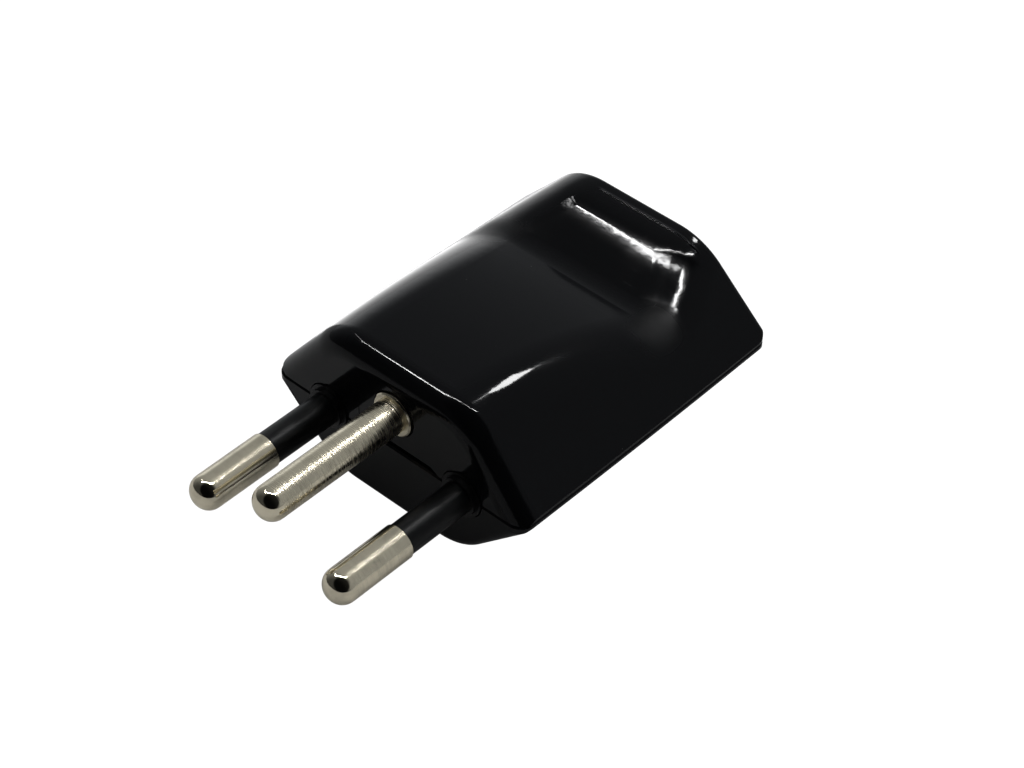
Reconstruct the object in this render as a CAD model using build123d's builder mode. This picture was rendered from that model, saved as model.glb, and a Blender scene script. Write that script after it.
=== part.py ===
from build123d import *
import os

# Three-pin mains plug in two half shells, parted in the plane of the live and neutral pins.
# The origin is on the front face, midway between those two pins. The pins point to -Y and +Z is up.

# Housing, outside
body_length = 39.6
body_width = 35.4
upper_height = 11.0
shoulder_height = 10.8
lower_height = 8.7
upper_flat = 18.6
lower_flat = 18.2
seam_band = 0.5
corner_radius = 1.8
crest_radius = 7.8
upper_front_radius = 2.5
lower_front_radius = 1.0
rear_radius = 0.7
rim_chamfer = 0.2
upper_lean = 1.05
lower_lean = 2.0
taper_length = 19.6
seam_taper = 0.25
upper_taper = 1.75
lower_taper = 0.25

# Grip on top: brow, thumb valley, rise and rear hump, as rounded corners placed from the rear
brow_back = 25.1
brow_height = 10.25
brow_radius = 78.0
valley_back = 11.7
valley_height = 6.2
valley_radius = 4.0
rise_back = 7.0
rise_height = 8.11
rise_radius = 25.0
hump_back = 3.77
hump_height = 9.9
hump_radius = 8.0

# Housing, inside
wall = 2.0
front_wall = 2.6
rib = 1.2
barrier = 1.0
seat_clearance = 0.1
lip_inset = 1.2
lip_thickness = 0.8
lip_height = 0.9
lip_clearance = 0.1
lip_length = 26.0

# Pins
pin_spacing = 19.0
pin_diameter = 4.0
pin_length = 19.0
tip_radius = 1.75
earth_height = 5.0
core_diameter = 2.8
flange_diameter = 5.2
flange_proud = 0.35
flange_bevel = 0.15

# Insulating sleeves
sleeve_length = 9.15
sleeve_diameter = 3.68
collar_diameter = 5.3
collar_proud = 0.15
ring_diameter = 4.5
ring_proud = 0.7
pin_hole_clearance = 0.12

# Mark of the mould core round the earth pin, and the wider seam below it
core_mark_width = 10.2
core_mark_height = 5.5
core_mark_radius = 1.0
core_mark_depth = 0.05
seam_gap_width = 10.4
seam_gap_height = 0.75
seam_gap_taper = 1.4

# Terminal blocks and their screws
terminal_width = 5.0
terminal_above = 2.2
terminal_below = 2.8
terminal_length = 9.5
terminal_corner = 0.4
wire_diameter = 2.9
wire_depth = 7.0
wire_notch = 3.4
terminal_screw_diameter = 2.5
terminal_screw_length = 3.0
terminal_screw_proud = 0.4
slot_width = 0.6
slot_depth = 0.8
thread_clearance = 0.05

# Housing screw and its insert
housing_screw_y = 19.5
boss_diameter = 8.4
housing_screw_diameter = 3.0
housing_screw_length = 9.6
housing_head_diameter = 5.4
housing_head_height = 1.8
housing_head_recess = 0.7
head_clearance = 0.3
insert_diameter = 4.2
insert_length = 4.5

# Cord inlet and clamp
inlet_diameter = 8.5
cord_diameter = 6.8
clamp_back = 8.4
clamp_width = 5.0
clamp_thickness = 1.8
clamp_lug_thickness = 2.2
clamp_spacing = 16.0
clamp_boss_diameter = 5.0
clamp_screw_diameter = 2.4
clamp_screw_length = 8.0
clamp_head_diameter = 4.4
clamp_head_height = 1.4
saddle_width = 3.0

# Places worked out from the sizes above
half_width = body_width / 2
rear_half_width = half_width - seam_taper
taper_y = body_length - taper_length
clamp_y = body_length - clamp_back
half_spacing = pin_spacing / 2
terminal_front = front_wall + seat_clearance
terminal_rear = terminal_front + terminal_length
terminal_screw_y = terminal_rear - wire_depth / 2
rib_places = (terminal_front + rib, terminal_rear - rib)
stop_front = terminal_rear + seat_clearance
barrier_x = half_spacing / 2
seam_skirt = 2 * wall
live_axis = (half_spacing, 0)
neutral_axis = (-half_spacing, 0)
earth_axis = (0, earth_height)
contact_axes = (live_axis, neutral_axis, earth_axis)


# Half width that the flanks of a shell would have at the parting plane without the upright band
def flank_foot(height, flat):
    return half_width + seam_band * (half_width - flat / 2) / (height - seam_band)


# Upright walls of the plan of the body, with the bevelled rim that makes the seam
def plan_form(height):
    with BuildPart() as plan:
        with BuildSketch() as outline:
            with BuildLine():
                edge = ThreePointArc((half_width, 0), (half_width, taper_y), (rear_half_width, body_length))
                Line(edge @ 0, (0, 0))
                Line(edge @ 1, (0, body_length))
                mirror(about=Plane.YZ)
            make_face()
            fillet(outline.vertices(), radius=corner_radius)
        extrude(amount=height)
        chamfer(plan.faces().filter_by(lambda face: face.center().Z == 0).edges(), length=rim_chamfer)
    return plan.part


# Sloping flanks of one shell, drawn in a little towards the rear
def flank_form(height, flat, taper, side):
    foot = flank_foot(height, flat)
    with BuildPart() as flanks:
        for place, share in ((0, 0), (taper_y, 0), (body_length, 1)):
            foot_x = foot - share * seam_taper
            flat_x = flat / 2 - share * taper
            with BuildSketch(Plane.XZ.offset(-place)):
                with BuildLine():
                    Polyline(
                        (-foot_x, 0),
                        (foot_x, 0),
                        (flat_x, side * height),
                        (-flat_x, side * height),
                        close=True,
                    )
                make_face()
        loft()
    return flanks.part


# Outer form of one shell: its lengthwise profile cut to its sloping flanks, rounded along the crests,
# at the front and at the rear, and trimmed to the plan. side is the sign of Z on which the shell lies.
def outer_form(profile, bends, height, flat, taper, lean, front_radius, side):
    plan = plan_form(side * height)
    flanks = flank_form(height, flat, taper, side)

    def off_seam(edge):
        return side * edge.center().Z > seam_band

    with BuildPart() as form:
        with BuildSketch(Plane.YZ):
            with BuildLine():
                outline = FilletPolyline(*profile, radius=bends)
                Line(outline @ 1, outline @ 0)
            make_face()
        extrude(amount=body_width, both=True)
        add(flanks, mode=Mode.INTERSECT)
        faces = form.faces().sort_by(Axis.X)
        flank_edges = ShapeList((faces[0], faces[-1])).edges().filter_by(off_seam)
        fillet(flank_edges.filter_by_position(Axis.Y, 0, body_length - lean, (False, False)), crest_radius)
        front = form.faces().sort_by(Axis.Y)[0]
        fillet(front.edges().filter_by(off_seam), front_radius)
        rear = form.faces().sort_by(Axis.Y)[-1]
        fillet(rear.edges().filter_by(off_seam), rear_radius)
        add(plan, mode=Mode.INTERSECT)
    return form.part


# Room inside one shell: profile and flanks set in by the wall, open through the parting plane
def inner_room(profile, height, flat, side):
    foot = flank_foot(height, flat)
    skirt = -side * seam_skirt
    with BuildPart() as room:
        with BuildSketch(Plane.YZ):
            with BuildLine():
                Polyline((room_front, skirt), *profile, (body_length, 0), (body_length, skirt), close=True)
            make_face()
            offset(amount=-wall, kind=Kind.INTERSECTION)
        extrude(amount=body_width, both=True)
        with BuildSketch(Plane.XZ):
            with BuildLine():
                Polyline(
                    (-foot, skirt),
                    (foot, skirt),
                    (foot, 0),
                    (flat / 2, side * height),
                    (-flat / 2, side * height),
                    (-foot, 0),
                    close=True,
                )
            make_face()
            offset(amount=-wall, kind=Kind.INTERSECTION)
        extrude(amount=-body_length, mode=Mode.INTERSECT)
    return room.part


room_front = front_wall - wall
grip_line = (
    (body_length - brow_back, brow_height),
    (body_length - valley_back, valley_height),
    (body_length - rise_back, rise_height),
    (body_length - hump_back, hump_height),
    (body_length - upper_lean, hump_height),
)
base_line = (body_length - lower_lean, -lower_height)
upper_outside = outer_form(
    ((0, 0), (0, shoulder_height), *grip_line, (body_length, 0)),
    (0, brow_radius, valley_radius, rise_radius, hump_radius, 0),
    upper_height,
    upper_flat,
    upper_taper,
    upper_lean,
    upper_front_radius,
    1,
)
lower_outside = outer_form(
    ((0, 0), (0, -lower_height), base_line, (body_length, 0)),
    (0, 0),
    lower_height,
    lower_flat,
    lower_taper,
    lower_lean,
    lower_front_radius,
    -1,
)
upper_ceiling = ((room_front, shoulder_height), *grip_line)
lower_floor = ((room_front, -lower_height), base_line)
upper_room = inner_room(upper_ceiling, upper_height, upper_flat - 2 * upper_taper, 1)
lower_room = inner_room(lower_floor, lower_height, lower_flat - 2 * lower_taper, -1)

# Holes that both shells share: collars of the pins, and the cord inlet
pin_hole_radius = max(collar_diameter, flange_diameter) / 2 + pin_hole_clearance
with BuildPart() as shared_holes:
    with BuildSketch(Plane.XZ):
        with Locations(*contact_axes):
            Circle(pin_hole_radius)
    extrude(amount=-front_wall)
    with BuildSketch(Plane.XZ.offset(-body_length)):
        Circle(inlet_diameter / 2)
    extrude(amount=2 * wall)

# Pockets of the terminal blocks, with the notches through which the wires leave them
with BuildPart() as upper_pockets:
    for axis_x, axis_z in contact_axes:
        with BuildSketch(Plane.XZ.offset(-front_wall)):
            with Locations((axis_x, 0)):
                Rectangle(
                    terminal_width + 2 * seat_clearance,
                    axis_z + terminal_above + seat_clearance,
                    align=(Align.CENTER, Align.MIN),
                )
        extrude(amount=-(terminal_length + 2 * seat_clearance))
        with BuildSketch(Plane.XZ.offset(-stop_front)):
            with Locations((axis_x, 0)):
                Rectangle(wire_notch, axis_z + wire_notch / 2, align=(Align.CENTER, Align.MIN))
        extrude(amount=-rib)

# Walls and bosses inside the upper shell, which carries the contacts and the clamp
with BuildPart() as upper_ribs:
    with BuildSketch():
        for place in rib_places:
            with Locations((0, place)):
                Rectangle(body_width, rib)
        with Locations((0, stop_front + rib / 2)):
            Rectangle(body_width, rib)
        with Locations((-barrier_x, front_wall), (barrier_x, front_wall)):
            Rectangle(barrier, stop_front - front_wall, align=(Align.CENTER, Align.MIN))
        with Locations((0, housing_screw_y)):
            Circle(boss_diameter / 2)
        with Locations((0, clamp_y)):
            Rectangle(clamp_spacing, saddle_width)
            with GridLocations(clamp_spacing, 0, 2, 1):
                Circle(clamp_boss_diameter / 2)
    extrude(amount=upper_height)
    add(upper_room, mode=Mode.INTERSECT)
    add(upper_pockets.part, mode=Mode.SUBTRACT)
    with BuildSketch(Plane.XZ.offset(-clamp_y)):
        Circle(cord_diameter / 2)
    extrude(amount=saddle_width, both=True, mode=Mode.SUBTRACT)

with BuildPart() as upper_shell:
    add(upper_outside)
    add(upper_room, mode=Mode.SUBTRACT)
    add(upper_ribs.part)
    add(shared_holes.part, mode=Mode.SUBTRACT)
    # Rebates for the lips of the lower shell
    with BuildSketch():
        with GridLocations(body_width - 2 * lip_inset - lip_thickness, 0, 2, 1):
            with Locations((0, body_length / 2)):
                Rectangle(lip_thickness + 2 * lip_clearance, lip_length + 2 * lip_clearance)
    extrude(amount=lip_height + lip_clearance, mode=Mode.SUBTRACT)
    # Wider seam below the earth pin, and the faint mark of the mould core above it
    with BuildSketch(Plane.XZ):
        Trapezoid(
            seam_gap_width + 2 * seam_gap_taper,
            seam_gap_height,
            Vector(seam_gap_taper, seam_gap_height).get_angle(Vector(1, 0)),
            align=(Align.CENTER, Align.MIN),
        )
    extrude(amount=-front_wall, mode=Mode.SUBTRACT)
    with BuildSketch(Plane.XZ) as core_mark:
        Rectangle(core_mark_width, core_mark_height, align=(Align.CENTER, Align.MIN))
        fillet(core_mark.vertices().group_by(Axis.Y)[-1], radius=core_mark_radius)
    extrude(amount=-core_mark_depth, mode=Mode.SUBTRACT)
    # Seat of the insert, and pilot holes of the clamp screws
    with BuildSketch():
        with Locations((0, housing_screw_y)):
            Circle(insert_diameter / 2)
    extrude(amount=insert_length, mode=Mode.SUBTRACT)
    with BuildSketch():
        with Locations((0, clamp_y)):
            with GridLocations(clamp_spacing, 0, 2, 1):
                Circle(clamp_screw_diameter / 2 + thread_clearance)
    extrude(amount=clamp_screw_length - clamp_lug_thickness, mode=Mode.SUBTRACT)
upper_shell.part.label = "upper_shell"

# Walls and boss inside the lower shell, which closes the plug from below
with BuildPart() as lower_ribs:
    with BuildSketch():
        for place in rib_places:
            with Locations((0, place)):
                Rectangle(body_width, rib)
        with Locations((0, housing_screw_y)):
            Circle(boss_diameter / 2)
    extrude(amount=-lower_height)
    add(lower_room, mode=Mode.INTERSECT)
    for axis_x, axis_z in (live_axis, neutral_axis):
        with BuildSketch(Plane.XZ.offset(-front_wall)):
            with Locations((axis_x, axis_z)):
                Rectangle(
                    terminal_width + 2 * seat_clearance,
                    terminal_below + seat_clearance,
                    align=(Align.CENTER, Align.MAX),
                )
        extrude(amount=-(terminal_length + 2 * seat_clearance), mode=Mode.SUBTRACT)
    # Props that hold the earth terminal up
    with BuildSketch():
        for place in rib_places:
            with Locations((0, place)):
                Rectangle(terminal_width - 2 * seat_clearance, rib)
    extrude(amount=earth_height - terminal_below - seat_clearance)

screw_seat_z = -lower_height + housing_head_recess + housing_head_height
with BuildPart() as lower_shell:
    add(lower_outside)
    add(lower_room, mode=Mode.SUBTRACT)
    add(lower_ribs.part)
    with BuildSketch():
        with GridLocations(body_width - 2 * lip_inset - lip_thickness, 0, 2, 1):
            with Locations((0, body_length / 2)):
                Rectangle(lip_thickness, lip_length)
    extrude(amount=lip_height)
    add(shared_holes.part, mode=Mode.SUBTRACT)
    with BuildSketch(Plane.XY.offset(-lower_height)):
        with Locations((0, housing_screw_y)):
            Circle(housing_head_diameter / 2 + head_clearance)
    extrude(amount=housing_head_recess + housing_head_height, mode=Mode.SUBTRACT)
    with BuildSketch(Plane.XY.offset(-lower_height)):
        with Locations((0, housing_screw_y)):
            Circle(housing_screw_diameter / 2 + head_clearance / 2)
    extrude(amount=lower_height, mode=Mode.SUBTRACT)
lower_shell.part.label = "lower_shell"


# One contact: a turned pin with its terminal block, wire bore and screw hole.
# outline gives the turned profile as distance out of the front face, and radius.
def contact(axis_x, axis_z, outline):
    axis_plane = Plane(origin=(axis_x, 0, axis_z), x_dir=(0, -1, 0), z_dir=(0, 0, 1))
    with BuildPart() as piece:
        with BuildSketch(axis_plane):
            with BuildLine():
                Polyline(*outline, close=True)
            make_face()
        revolve(axis=Axis(axis_plane.origin, axis_plane.x_dir))
        fillet(piece.edges().group_by(Axis.Y)[0], radius=tip_radius)
        with BuildSketch(Plane.XZ.offset(-terminal_front)):
            with Locations((axis_x, axis_z + (terminal_above - terminal_below) / 2)):
                RectangleRounded(terminal_width, terminal_above + terminal_below, terminal_corner)
        extrude(amount=-terminal_length)
        with BuildSketch(Plane.XZ.offset(-terminal_rear)):
            with Locations((axis_x, axis_z)):
                Circle(wire_diameter / 2)
        extrude(amount=wire_depth, mode=Mode.SUBTRACT)
        with BuildSketch(Plane.XY.offset(axis_z - terminal_below)):
            with Locations((axis_x, terminal_screw_y)):
                Circle(terminal_screw_diameter / 2 + thread_clearance)
        extrude(amount=terminal_below, mode=Mode.SUBTRACT)
    return piece.part


pin_radius = pin_diameter / 2
core_radius = core_diameter / 2
flange_radius = flange_diameter / 2
sleeved_outline = (
    (-terminal_front, 0),
    (pin_length, 0),
    (pin_length, pin_radius),
    (sleeve_length, pin_radius),
    (sleeve_length, core_radius),
    (-terminal_front, core_radius),
)
earth_outline = (
    (-terminal_front, 0),
    (pin_length, 0),
    (pin_length, pin_radius),
    (flange_proud, pin_radius),
    (flange_proud, flange_radius - flange_bevel),
    (flange_proud - flange_bevel, flange_radius),
    (-front_wall, flange_radius),
    (-front_wall, pin_radius),
    (-terminal_front, pin_radius),
)
live_pin = contact(*live_axis, sleeved_outline)
live_pin.label = "live_pin"
neutral_pin = contact(*neutral_axis, sleeved_outline)
neutral_pin.label = "neutral_pin"
earth_pin = contact(*earth_axis, earth_outline)
earth_pin.label = "earth_pin"


# Insulating sleeve of a power pin, with its ring and its collar in the front wall
def sleeve(axis_x, axis_z):
    axis_plane = Plane(origin=(axis_x, 0, axis_z), x_dir=(0, -1, 0), z_dir=(0, 0, 1))
    with BuildPart() as piece:
        with BuildSketch(axis_plane):
            with BuildLine():
                Polyline(
                    (sleeve_length, core_radius),
                    (sleeve_length, sleeve_diameter / 2),
                    (ring_proud, sleeve_diameter / 2),
                    (ring_proud, ring_diameter / 2),
                    (collar_proud, ring_diameter / 2),
                    (collar_proud, collar_diameter / 2),
                    (-front_wall, collar_diameter / 2),
                    (-front_wall, core_radius),
                    close=True,
                )
            make_face()
        revolve(axis=Axis(axis_plane.origin, axis_plane.x_dir))
    return piece.part


live_sleeve = sleeve(*live_axis)
live_sleeve.label = "live_sleeve"
neutral_sleeve = sleeve(*neutral_axis)
neutral_sleeve.label = "neutral_sleeve"

# Slotted grub screws of the three terminals
with BuildPart() as terminal_screws:
    for axis_x, axis_z in contact_axes:
        screw_foot = Plane.XY.offset(axis_z - terminal_below - terminal_screw_proud)
        with BuildSketch(screw_foot):
            with Locations((axis_x, terminal_screw_y)):
                Circle(terminal_screw_diameter / 2)
        extrude(amount=terminal_screw_length)
        with BuildSketch(screw_foot):
            with Locations((axis_x, terminal_screw_y)):
                Rectangle(slot_width, terminal_screw_diameter)
        extrude(amount=slot_depth, mode=Mode.SUBTRACT)
terminal_screws.part.label = "terminal_screws"

# Bridge that holds the cord up against the saddle
with BuildPart() as cord_clamp:
    with BuildSketch(Plane.XZ.offset(-clamp_y)):
        Circle(cord_diameter / 2 + clamp_thickness)
        Rectangle(body_width, body_width, align=(Align.CENTER, Align.MIN), mode=Mode.SUBTRACT)
        Rectangle(
            clamp_spacing + clamp_boss_diameter,
            clamp_lug_thickness,
            align=(Align.CENTER, Align.MAX),
        )
        Circle(cord_diameter / 2, mode=Mode.SUBTRACT)
    extrude(amount=clamp_width / 2, both=True)
    with BuildSketch():
        with Locations((0, clamp_y)):
            with GridLocations(clamp_spacing, 0, 2, 1):
                Circle(clamp_screw_diameter / 2 + thread_clearance)
    extrude(amount=-clamp_lug_thickness, mode=Mode.SUBTRACT)
cord_clamp.part.label = "cord_clamp"

# Slotted screws of the bridge
with BuildPart() as clamp_screws:
    with BuildSketch(Plane.XY.offset(-clamp_lug_thickness)):
        with Locations((0, clamp_y)):
            with GridLocations(clamp_spacing, 0, 2, 1):
                Circle(clamp_screw_diameter / 2)
    extrude(amount=clamp_screw_length)
    with BuildSketch(Plane.XY.offset(-clamp_lug_thickness)):
        with Locations((0, clamp_y)):
            with GridLocations(clamp_spacing, 0, 2, 1):
                Circle(clamp_head_diameter / 2)
    extrude(amount=-clamp_head_height)
    with BuildSketch(Plane.XY.offset(-clamp_lug_thickness - clamp_head_height)):
        with Locations((0, clamp_y)):
            with GridLocations(clamp_spacing, 0, 2, 1):
                Rectangle(clamp_head_diameter, slot_width)
    extrude(amount=slot_depth, mode=Mode.SUBTRACT)
clamp_screws.part.label = "clamp_screws"

# Screw that closes the housing, and the brass insert that takes it
with BuildPart() as housing_screw:
    with BuildSketch(Plane.XY.offset(screw_seat_z)):
        with Locations((0, housing_screw_y)):
            Circle(housing_head_diameter / 2)
    extrude(amount=-housing_head_height)
    with BuildSketch(Plane.XY.offset(screw_seat_z)):
        with Locations((0, housing_screw_y)):
            Circle(housing_screw_diameter / 2)
    extrude(amount=housing_screw_length)
    with BuildSketch(Plane.XY.offset(screw_seat_z - housing_head_height)):
        with Locations((0, housing_screw_y)):
            Rectangle(housing_head_diameter, slot_width)
    extrude(amount=slot_depth, mode=Mode.SUBTRACT)
housing_screw.part.label = "housing_screw"

with BuildPart() as housing_insert:
    with BuildSketch():
        with Locations((0, housing_screw_y)):
            Circle(insert_diameter / 2)
            Circle(housing_screw_diameter / 2 + thread_clearance, mode=Mode.SUBTRACT)
    extrude(amount=insert_length)
housing_insert.part.label = "housing_insert"

os.makedirs("parts", exist_ok=True)
export_step(upper_shell.part, "parts/upper_shell.step")
export_step(lower_shell.part, "parts/lower_shell.step")
export_step(live_pin, "parts/live_pin.step")
export_step(neutral_pin, "parts/neutral_pin.step")
export_step(earth_pin, "parts/earth_pin.step")
export_step(live_sleeve, "parts/live_sleeve.step")
export_step(neutral_sleeve, "parts/neutral_sleeve.step")
export_step(terminal_screws.part, "parts/terminal_screws.step")
export_step(cord_clamp.part, "parts/cord_clamp.step")
export_step(clamp_screws.part, "parts/clamp_screws.step")
export_step(housing_screw.part, "parts/housing_screw.step")
export_step(housing_insert.part, "parts/housing_insert.step")
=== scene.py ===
import math
import bpy
from mathutils import Matrix, Quaternion, Vector


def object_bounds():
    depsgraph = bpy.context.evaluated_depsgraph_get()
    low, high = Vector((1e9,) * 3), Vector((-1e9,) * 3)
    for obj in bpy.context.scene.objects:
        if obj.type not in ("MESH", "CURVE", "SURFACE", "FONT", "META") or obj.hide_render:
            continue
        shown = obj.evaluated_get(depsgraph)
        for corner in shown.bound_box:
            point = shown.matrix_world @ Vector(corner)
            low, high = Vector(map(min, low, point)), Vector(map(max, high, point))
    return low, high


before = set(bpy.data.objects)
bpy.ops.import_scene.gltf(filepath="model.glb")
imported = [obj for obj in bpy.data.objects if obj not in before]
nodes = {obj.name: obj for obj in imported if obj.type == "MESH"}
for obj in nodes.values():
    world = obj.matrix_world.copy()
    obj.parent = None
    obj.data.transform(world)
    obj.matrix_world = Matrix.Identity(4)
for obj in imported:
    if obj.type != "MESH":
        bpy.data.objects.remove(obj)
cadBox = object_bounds()
bpy.ops.object.select_all(action="DESELECT")
bpy.context.scene.view_settings.view_transform = "Standard"
bpy.context.scene.view_settings.look = "Medium High Contrast"
print("frame loaded:", len(nodes), "nodes")

perMetre = 1000  # millimetres


class Sock:  # a socket that can stand in a sum
    def __init__(self, nodes, socket):
        self.nodes = nodes
        self.socket = socket

    def calc(self, operation, first, second):
        return self.nodes.node("ShaderNodeMath", {"operation": operation}, {0: first, 1: second})

    def __add__(self, other):
        return self.calc("ADD", self, other)

    def __radd__(self, other):
        return self.calc("ADD", other, self)

    def __sub__(self, other):
        return self.calc("SUBTRACT", self, other)

    def __rsub__(self, other):
        return self.calc("SUBTRACT", other, self)

    def __mul__(self, other):
        return self.calc("MULTIPLY", self, other)

    def __rmul__(self, other):
        return self.calc("MULTIPLY", other, self)


class Nodes:  # one node tree, of a material or of the room
    def __init__(self, owner):
        self.owner = owner
        owner.use_nodes = True
        self.tree = owner.node_tree
        self.tree.nodes.clear()

    def node(self, kind, settings=None, sockets=None, out=0):
        made = self.tree.nodes.new(kind)
        for key, value in (settings or {}).items():
            setattr(made, key, value)
        for key, value in (sockets or {}).items():
            if isinstance(value, Sock):
                self.tree.links.new(value.socket, made.inputs[key])
            else:
                made.inputs[key].default_value = value
        return Sock(self, made.outputs[out]) if made.outputs else None

    def place(self, stretch=(1, 1, 1), turn=(0, 0, 0)):  # object coordinates in millimetres
        coords = self.node("ShaderNodeTexCoord", out="Object")
        scale = tuple(perMetre * s for s in stretch)
        sockets = {"Vector": coords, "Scale": scale, "Rotation": turn}
        return self.node("ShaderNodeMapping", {}, sockets)

    def axis(self, vector, name):
        return self.node("ShaderNodeSeparateXYZ", {}, {0: vector}, out=name)

    def span(self, value):  # how far from zero, either way
        return self.node("ShaderNodeMath", {"operation": "ABSOLUTE"}, {0: value})

    def noise(self, vector, scale=1.0, detail=2, rough=0.5):
        sockets = {"Vector": vector, "Scale": scale, "Detail": detail, "Roughness": rough}
        return self.node("ShaderNodeTexNoise", {}, sockets)

    def fade(self, value, low, high, start=0.0, end=1.0):  # eased between low and high
        sockets = {"Value": value, 1: low, 2: high, 3: start, 4: end}
        return self.node("ShaderNodeMapRange", {"interpolation_type": "SMOOTHSTEP"}, sockets)

    def tint(self, mask, under, over):  # mixes two colours by a mask
        sockets = {0: mask, 6: under, 7: over}
        return self.node("ShaderNodeMix", {"data_type": "RGBA"}, sockets, out=2)

    def bump(self, height, depth, below=None):  # depth in metres
        sockets = {"Height": height, "Distance": depth, "Strength": 1.0}
        if below:
            sockets["Normal"] = below
        return self.node("ShaderNodeBump", {}, sockets)

    def toward(self, way, aim):  # cosine of the angle between a direction and the aim
        sockets = {0: way, 1: Vector(aim).normalized()}
        return self.node("ShaderNodeVectorMath", {"operation": "DOT_PRODUCT"}, sockets, out="Value")

    def surface(self, sockets):
        shader = self.node("ShaderNodeBsdfPrincipled", {}, sockets)
        self.node("ShaderNodeOutputMaterial", {}, {"Surface": shader})
        return self.owner


def newNodes(name):
    return Nodes(bpy.data.materials.new(name))


def grey(level):
    return (level, level, level, 1)


# housing: polished black moulding
housingFinish = {  # scales per millimetre, places in millimetres, depths in metres
    "black": (0.0078, 0.0081, 0.0098, 1),
    "dust": grey(0.11),
    "gloss": 0.07,
    "level": 0.24,
    "smudgeScale": 0.09,
    "smudgeFade": (0.42, 0.72),
    "smudgeRough": 0.05,
    "speckScale": 0.33,
    "speckSize": (0.012, 0.026),
    "pickScale": 0.21,
    "pickFade": (0.5, 0.56),
    "speckRough": 0.25,
    "hairs": (((0.16, 4.2, 1.0), 0.6), ((3.9, 0.14, 1.0), 0.35)),  # stretch and turn, two sets
    "hairFade": (0.735, 0.76),
    "hairRough": 0.06,
    "softRough": 0.55,
    "peelScale": 0.62,
    "peelDepth": 0.0000032,
    "grainScale": 2.0,
    "grainDepth": 0.0000014,
    "rippleScale": 1.2,
    "rippleDepth": 0.000004,
    "rippleFrom": (30.5, 32.5),
    "lineBack": 37.0,
    "lineWidth": 0.22,
    "lineDepth": 0.00009,
    "lineUp": (8.6, 9.4),
    "lineAcross": (-5.4, -4.2),
    "dullFront": (22.0, 27.2),
    "dullRear": (28.0, 31.2),
    "dullUp": (3.4, 5.8),
    "dullAside": (7.0, 11.0),
    "dullRough": 0.4,  # 0 gives even gloss
}


def housingRelief(f, mm, settings):
    along, up, across = f.axis(mm, "Y"), f.axis(mm, "Z"), f.axis(mm, "X")
    peel = f.noise(mm, settings["peelScale"], detail=3, rough=settings["softRough"])
    grain = f.noise(mm, settings["grainScale"])
    # slight waves on the hump fray the edge of its highlight
    ripple = f.noise(mm, settings["rippleScale"]) * f.fade(along, *settings["rippleFrom"])
    # a faint mould line runs across the hump
    line = 1 - f.fade(f.span(along - settings["lineBack"]), 0.0, settings["lineWidth"])
    line = line * f.fade(up, *settings["lineUp"]) * f.fade(across, *settings["lineAcross"])
    relief = f.bump(peel, settings["peelDepth"])
    relief = f.bump(grain, settings["grainDepth"], relief)
    relief = f.bump(ripple, settings["rippleDepth"], relief)
    return f.bump(line, settings["lineDepth"], relief)


def makeHousing(settings):
    f = newNodes("housingPlastic")
    mm = f.place()
    along, up, aside = f.axis(mm, "Y"), f.axis(mm, "Z"), f.span(f.axis(mm, "X"))
    cloud = f.noise(mm, settings["smudgeScale"], detail=3, rough=settings["softRough"])
    smudge = f.fade(cloud, *settings["smudgeFade"])
    cellSockets = {"Vector": mm, "Scale": settings["speckScale"], "Randomness": 1.0}
    cells = f.node("ShaderNodeTexVoronoi", {}, cellSockets, out="Distance")
    pick = f.fade(f.noise(mm, settings["pickScale"], detail=1), *settings["pickFade"])
    speck = (1 - f.fade(cells, *settings["speckSize"])) * pick
    hairs = 0.0
    for stretch, turn in settings["hairs"]:
        streaks = f.noise(f.place(stretch, (0, 0, turn)), detail=1)
        hairs = hairs + f.fade(streaks, *settings["hairFade"])
    # ends of the valley: dulled to keep crestLamp from showing there as a white dot
    dull = f.fade(along, *settings["dullFront"]) * (1 - f.fade(along, *settings["dullRear"]))
    dull = dull * f.fade(up, *settings["dullUp"]) * f.fade(aside, *settings["dullAside"])
    rough = settings["gloss"] + settings["smudgeRough"] * smudge + settings["speckRough"] * speck
    rough = rough + settings["hairRough"] * hairs + settings["dullRough"] * dull
    return f.surface({
        "Base Color": f.tint(speck, settings["black"], settings["dust"]),
        "Roughness": rough,
        "Specular IOR Level": settings["level"],
        "Normal": housingRelief(f, mm, settings),
    })


# sleeves: satin black moulding over the pins
sleeveFinish = {
    "black": (0.0055, 0.0058, 0.0066, 1),
    "worn": grey(0.015),
    "satin": 0.31,
    "level": 0.32,
    "rubStretch": (1, 0.25, 1),
    "rubScale": 1.3,
    "rubFade": (0.45, 0.7),
    "rubRough": 0.12,
    "waveScale": 1.4,
    "waveDepth": 0.000004,
    "grainScale": 9.0,
    "grainDepth": 0.000001,
}


def makeSleeve(settings):
    f = newNodes("sleevePlastic")
    mm = f.place()
    streaks = f.noise(f.place(settings["rubStretch"]), settings["rubScale"], detail=3)
    rub = f.fade(streaks, *settings["rubFade"])
    grain = f.noise(mm, settings["grainScale"], detail=3)
    relief = f.bump(f.noise(mm, settings["waveScale"]), settings["waveDepth"])
    relief = f.bump(grain, settings["grainDepth"], relief)
    return f.surface({
        "Base Color": f.tint(rub, settings["black"], settings["worn"]),
        "Roughness": settings["satin"] + settings["rubRough"] * rub,
        "Specular IOR Level": settings["level"],
        "Normal": relief,
    })


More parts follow.
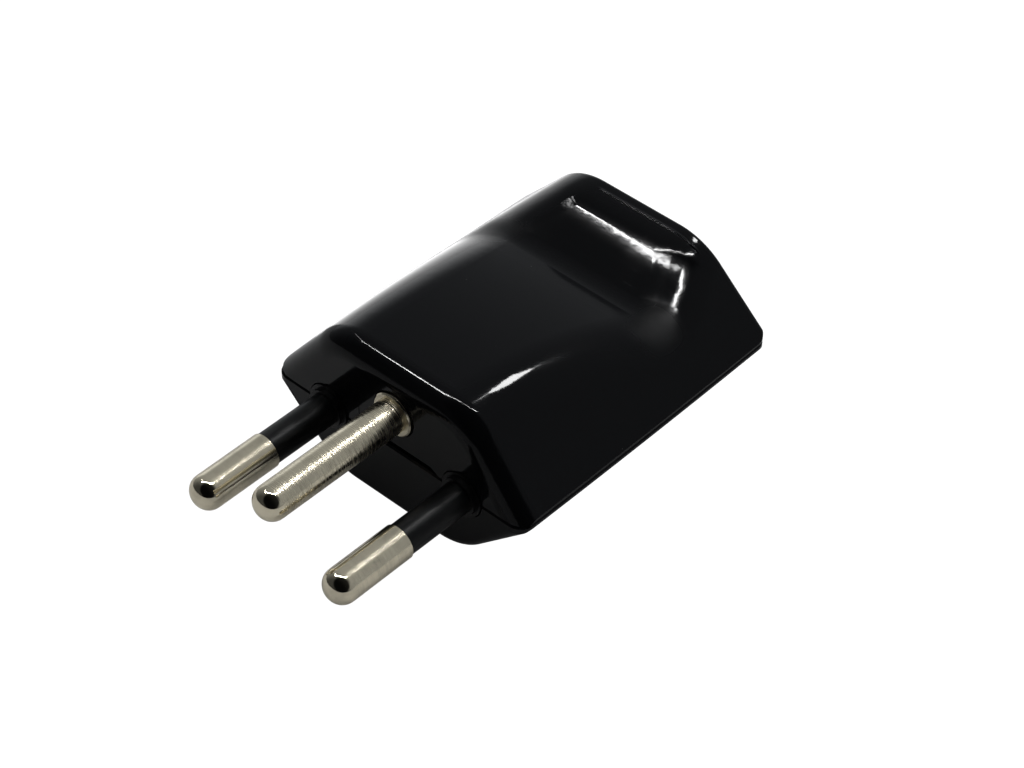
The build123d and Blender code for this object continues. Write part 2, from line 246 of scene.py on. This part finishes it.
# contacts: nickel plate over turned brass, with deeper turning marks on the earth pin
contactFinish = {
    "nickel": (0.84, 0.775, 0.62, 1),
    "dull": (0.66, 0.61, 0.49, 1),
    "groove": (0.34, 0.31, 0.24, 1),
    "polished": 0.07,
    "domeEnd": (-17.7, -17.0),
    "ringStretch": (0.1, 8.0, 0.1),
    "grooveStretch": (0.12, 7.0, 0.12),
    "grooveFade": (0.4, 0.66),
    "grooveRough": 0.6,
    "cloudScale": 0.45,
    "cloudFade": (0.4, 0.75),
    "cloudRough": 0.06,
}
powerMarks = {"depth": 0.000005, "rough": 0.06, "worn": 0.1}
earthMarks = {"depth": 0.000012, "rough": 0.08, "worn": 0.22}


def makeContact(settings, marks, name):
    f = newNodes(name)
    mm = f.place()
    turned = f.fade(f.axis(mm, "Y"), *settings["domeEnd"])  # the domes are polished
    rings = f.noise(f.place(settings["ringStretch"]), detail=1)  # turning marks run round the pin
    scores = f.noise(f.place(settings["grooveStretch"]), detail=1)
    grooves = f.fade(scores, *settings["grooveFade"]) * turned
    cloud = f.fade(f.noise(mm, settings["cloudScale"], detail=3), *settings["cloudFade"])
    plate = f.tint(cloud, settings["nickel"], settings["dull"])
    rough = settings["polished"] + turned * (marks["rough"] + settings["cloudRough"] * cloud)
    return f.surface({
        "Base Color": f.tint(grooves * marks["worn"], plate, settings["groove"]),
        "Metallic": 1.0,
        "Roughness": rough + grooves * (settings["grooveRough"] * marks["worn"]),
        "Normal": f.bump(rings * turned, marks["depth"]),
    })


# inner metal: zinc on the screws, turned brass on the insert
innerFinish = {
    "patchScale": 0.8,
    "patchSoft": 0.6,
    "patchFade": (0.38, 0.68),
    "patchRough": 0.14,
    "turnStretch": (0.5, 0.5, 6.0),
    "turnRough": 0.08,
    "turnDepth": 0.000006,
}
zincPlate = {"clean": (0.56, 0.57, 0.58, 1), "dull": (0.36, 0.37, 0.38, 1), "rough": 0.26}
plainBrass = {"clean": (0.74, 0.55, 0.24, 1), "dull": (0.5, 0.35, 0.14, 1), "rough": 0.24}


def makeInnerMetal(settings, metal, name):
    f = newNodes(name)
    spots = f.noise(f.place(), settings["patchScale"], detail=4, rough=settings["patchSoft"])
    patch = f.fade(spots, *settings["patchFade"])
    turned = f.noise(f.place(settings["turnStretch"]), detail=3)
    rough = metal["rough"] + settings["patchRough"] * patch + settings["turnRough"] * turned
    return f.surface({
        "Base Color": f.tint(patch, metal["clean"], metal["dull"]),
        "Metallic": 1.0,
        "Roughness": rough,
        "Normal": f.bump(turned, settings["turnDepth"]),
    })


# cord clamp: matt black moulding
clampFinish = {
    "black": (0.016, 0.016, 0.017, 1),
    "pale": grey(0.035),
    "matt": 0.5,
    "flowScale": 0.35,
    "flowFade": (0.4, 0.7),
    "flowRough": 0.1,
    "grainScale": 7.0,
    "grainDepth": 0.000004,
}


def makeClamp(settings):
    f = newNodes("clampPlastic")
    mm = f.place()
    grain = f.noise(mm, settings["grainScale"], detail=3)
    flow = f.fade(f.noise(mm, settings["flowScale"], detail=4), *settings["flowFade"])
    return f.surface({
        "Base Color": f.tint(flow, settings["black"], settings["pale"]),
        "Roughness": settings["matt"] + settings["flowRough"] * flow,
        "Normal": f.bump(grain, settings["grainDepth"]),
    })


housingPlastic = makeHousing(housingFinish)
sleevePlastic = makeSleeve(sleeveFinish)
powerNickel = makeContact(contactFinish, powerMarks, "powerNickel")
earthNickel = makeContact(contactFinish, earthMarks, "earthNickel")
screwZinc = makeInnerMetal(innerFinish, zincPlate, "screwZinc")
insertBrass = makeInnerMetal(innerFinish, plainBrass, "insertBrass")
clampPlastic = makeClamp(clampFinish)
finishes = {
    "upper_shell": housingPlastic,
    "lower_shell": housingPlastic,
    "live_pin": powerNickel,
    "neutral_pin": powerNickel,
    "earth_pin": earthNickel,
    "live_sleeve": sleevePlastic,
    "neutral_sleeve": sleevePlastic,
    "terminal_screws": screwZinc,
    "clamp_screws": screwZinc,
    "housing_screw": screwZinc,
    "housing_insert": insertBrass,
    "cord_clamp": clampPlastic,
}
for nodeName, material in finishes.items():
    for materialSlot in nodes[nodeName].material_slots:
        materialSlot.material = material
print("finishes on:", len(finishes), "nodes")


# floor: pale, and bright where the camera looks straight at it
floorSetup = {"size": 6.0, "pale": grey(0.8), "shine": 1.0, "lit": 0.86, "spill": 0.08}


def makeFloor(settings):
    bpy.ops.mesh.primitive_plane_add(size=settings["size"], location=(0, 0, cadBox[0].z))
    floor = bpy.context.object
    floor.name = "floor"
    bpy.ops.object.transform_apply(location=True, rotation=True, scale=True)
    f = newNodes("floorPaper")
    paper = f.node("ShaderNodeBsdfDiffuse", {}, {"Color": settings["pale"]})
    glow = f.node("ShaderNodeEmission", {}, {"Color": grey(1.0), "Strength": settings["shine"]})
    seen = f.node("ShaderNodeLightPath", out="Is Camera Ray")
    lit = settings["spill"] + seen * (settings["lit"] - settings["spill"])
    top = f.node("ShaderNodeMixShader", {}, {0: lit, 1: paper, 2: glow})
    below = f.node("ShaderNodeNewGeometry", out="Backfacing")
    clear = f.node("ShaderNodeBsdfTransparent")
    both = f.node("ShaderNodeMixShader", {}, {0: below, 1: top, 2: clear})
    f.node("ShaderNodeOutputMaterial", {}, {"Surface": both})
    floor.data.materials.append(f.owner)


makeFloor(floorSetup)
print("floor at", round(cadBox[0].z, 5))

# card: stands at the left behind the plug and whitens the crest there, out of the camera's sight
cardSetup = {"place": (-0.032, 0.042), "size": (0.056, 0.032), "rearFade": 0.024, "shine": 2.0}


def makeCard(settings):
    long, high = settings["size"]
    bpy.ops.mesh.primitive_plane_add(size=1, rotation=(0, math.pi / 2, 0))
    card = bpy.context.object
    card.name = "card"
    card.scale = (high, long, 1)
    card.location = (*settings["place"], cadBox[0].z + high / 2)
    bpy.ops.object.transform_apply(location=True, rotation=True, scale=True)
    f = newNodes("cardPaper")
    mm = f.place()
    foot = perMetre * cadBox[0].z
    rear = perMetre * (settings["place"][1] + long / 2)
    thin = f.fade(f.axis(mm, "Z"), foot, foot + perMetre * high)
    thinRear = f.fade(f.axis(mm, "Y"), rear - perMetre * settings["rearFade"], rear)
    thick = (1 - thin) * (1 - thinRear)
    paper = f.node("ShaderNodeEmission", {}, {"Color": grey(1.0), "Strength": settings["shine"]})
    clear = f.node("ShaderNodeBsdfTransparent")
    fading = f.node("ShaderNodeMixShader", {}, {0: thick, 1: clear, 2: paper})
    f.node("ShaderNodeOutputMaterial", {}, {"Surface": fading})
    card.data.materials.append(f.owner)
    card.visible_camera = False
    card.visible_shadow = False


makeCard(cardSetup)
print("card set")

# lights: a wide fill over the table, and lamps that only show in the gloss
middle = Vector((0.0, 0.012, 0.0))
lightSetup = {
    "fill": {
        "way": (-0.2, 0.45, 0.85), "along": (1, 0, 0), "far": 0.9,
        "size": (0.9, 0.9), "watts": 3.4, "glossy": False,
    },
    "tubeStart": {  # first of five lengths of a bent tube overhead
        "way": (-0.8425, -0.06, 1.0), "along": (-0.882, 0.471, 0), "far": 0.785,
        "size": (0.24, 0.005), "watts": 0.1, "glossy": True,
    },
    "tube": {
        "way": (-0.5323, -0.1967, 1.0), "along": (0.847, 0.532, 0), "far": 1.013,
        "size": (0.19, 0.024), "watts": 1.25, "glossy": True,
    },
    "tubeMiddle": {
        "way": (-0.2485, -0.084, 1.0), "along": (0.893, 0.45, 0), "far": 0.93,
        "size": (0.396, 0.014), "watts": 1.45, "glossy": True,
    },
    "tubeBend": {
        "way": (0.075, 0.088, 1.0), "along": (0.86, 0.51, 0), "far": 0.98,
        "size": (0.27, 0.009), "watts": 0.55, "glossy": True,
    },
    "tubeEnd": {
        "way": (0.287, 0.292, 1.0), "along": (0.56, 0.83, 0), "far": 0.98,
        "size": (0.21, 0.02), "watts": 1.17, "glossy": True,
    },
    "crestLamp": {  # for the right crest
        "way": (0.055, 0.617, 0.785), "along": (-0.7, 0.584, -0.41), "far": 0.815,
        "size": (0.11, 0.075), "watts": 0.85, "glossy": True,
    },
}


def addLight(name, settings):
    data = bpy.data.lights.new(name, "AREA")
    data.shape = "RECTANGLE"
    data.size, data.size_y = settings["size"]
    data.energy = settings["watts"]
    lamp = bpy.data.objects.new(name, data)
    bpy.context.scene.collection.objects.link(lamp)
    away = Vector(settings["way"]).normalized()
    along = Vector(settings["along"])
    along = (along - away * along.dot(away)).normalized()
    lamp.location = middle + away * settings["far"]
    lamp.rotation_euler = Matrix((along, away.cross(along), away)).transposed().to_euler()
    lamp.visible_camera = False
    lamp.visible_glossy = settings["glossy"]
    lamp.visible_diffuse = not settings["glossy"]


for lightName, lightValues in lightSetup.items():
    addLight(lightName, lightValues)
print("lights:", len(lightSetup))

# room: white to the camera, and to the gloss dim, darker in front and bright low at the left
roomSetup = {
    "dark": 0.06,
    "dim": 0.3,
    "backFade": (-0.7, 0.4),
    "bright": 0.45,
    "brightWay": (-0.83, 0.55, -0.1),
    "brightFade": (0.83, 1.0),
    "figure": 0.08,  # what is left of the light where someone stands at the table
    "figureWay": (0.49, -0.545, 0.68),
    "figureFade": (0.56, 0.74),
    "cool": (0.95, 0.98, 1.0, 1),
}


def makeRoom(settings):
    world = bpy.data.worlds.new("room")
    bpy.context.scene.world = world
    f = Nodes(world)
    way = f.node("ShaderNodeTexCoord", out="Generated")
    bright = f.toward(way, settings["brightWay"])
    figure = f.toward(way, settings["figureWay"])
    level = f.fade(f.axis(way, "Y"), *settings["backFade"], settings["dark"], settings["dim"])
    level = level + settings["bright"] * f.fade(bright, *settings["brightFade"])
    level = level * f.fade(figure, *settings["figureFade"], 1.0, settings["figure"])
    dimSky = f.node("ShaderNodeBackground", {}, {"Color": settings["cool"], "Strength": level})
    whiteSky = f.node("ShaderNodeBackground", {}, {"Color": grey(1.0), "Strength": 1.0})
    seen = f.node("ShaderNodeLightPath", out="Is Camera Ray")
    sky = f.node("ShaderNodeMixShader", {}, {0: seen, 1: dimSky, 2: whiteSky})
    f.node("ShaderNodeOutputWorld", {}, {"Surface": sky})


makeRoom(roomSetup)
print("room set")

# camera at the picture's angle
cameraSetup = {
    "place": (0.15134, -0.15058, 0.20759),
    "aim": (0.00217, 0.01548, 0.0),
    "roll": 0.0142,
    "lens": 101.89,
    "sensor": 36.0,
    "nearest": 0.01,
}


def makeCamera(settings):
    data = bpy.data.cameras.new("camera")
    data.lens = settings["lens"]
    data.sensor_width = settings["sensor"]
    data.clip_start = settings["nearest"]
    camera = bpy.data.objects.new("camera", data)
    bpy.context.scene.collection.objects.link(camera)
    camera.location = settings["place"]
    camera.rotation_mode = "QUATERNION"
    aimTurn = (Vector(settings["aim"]) - camera.location).to_track_quat("-Z", "Y")
    camera.rotation_quaternion = aimTurn @ Quaternion((0, 0, 1), settings["roll"])
    bpy.context.scene.camera = camera


makeCamera(cameraSetup)
print("camera set")
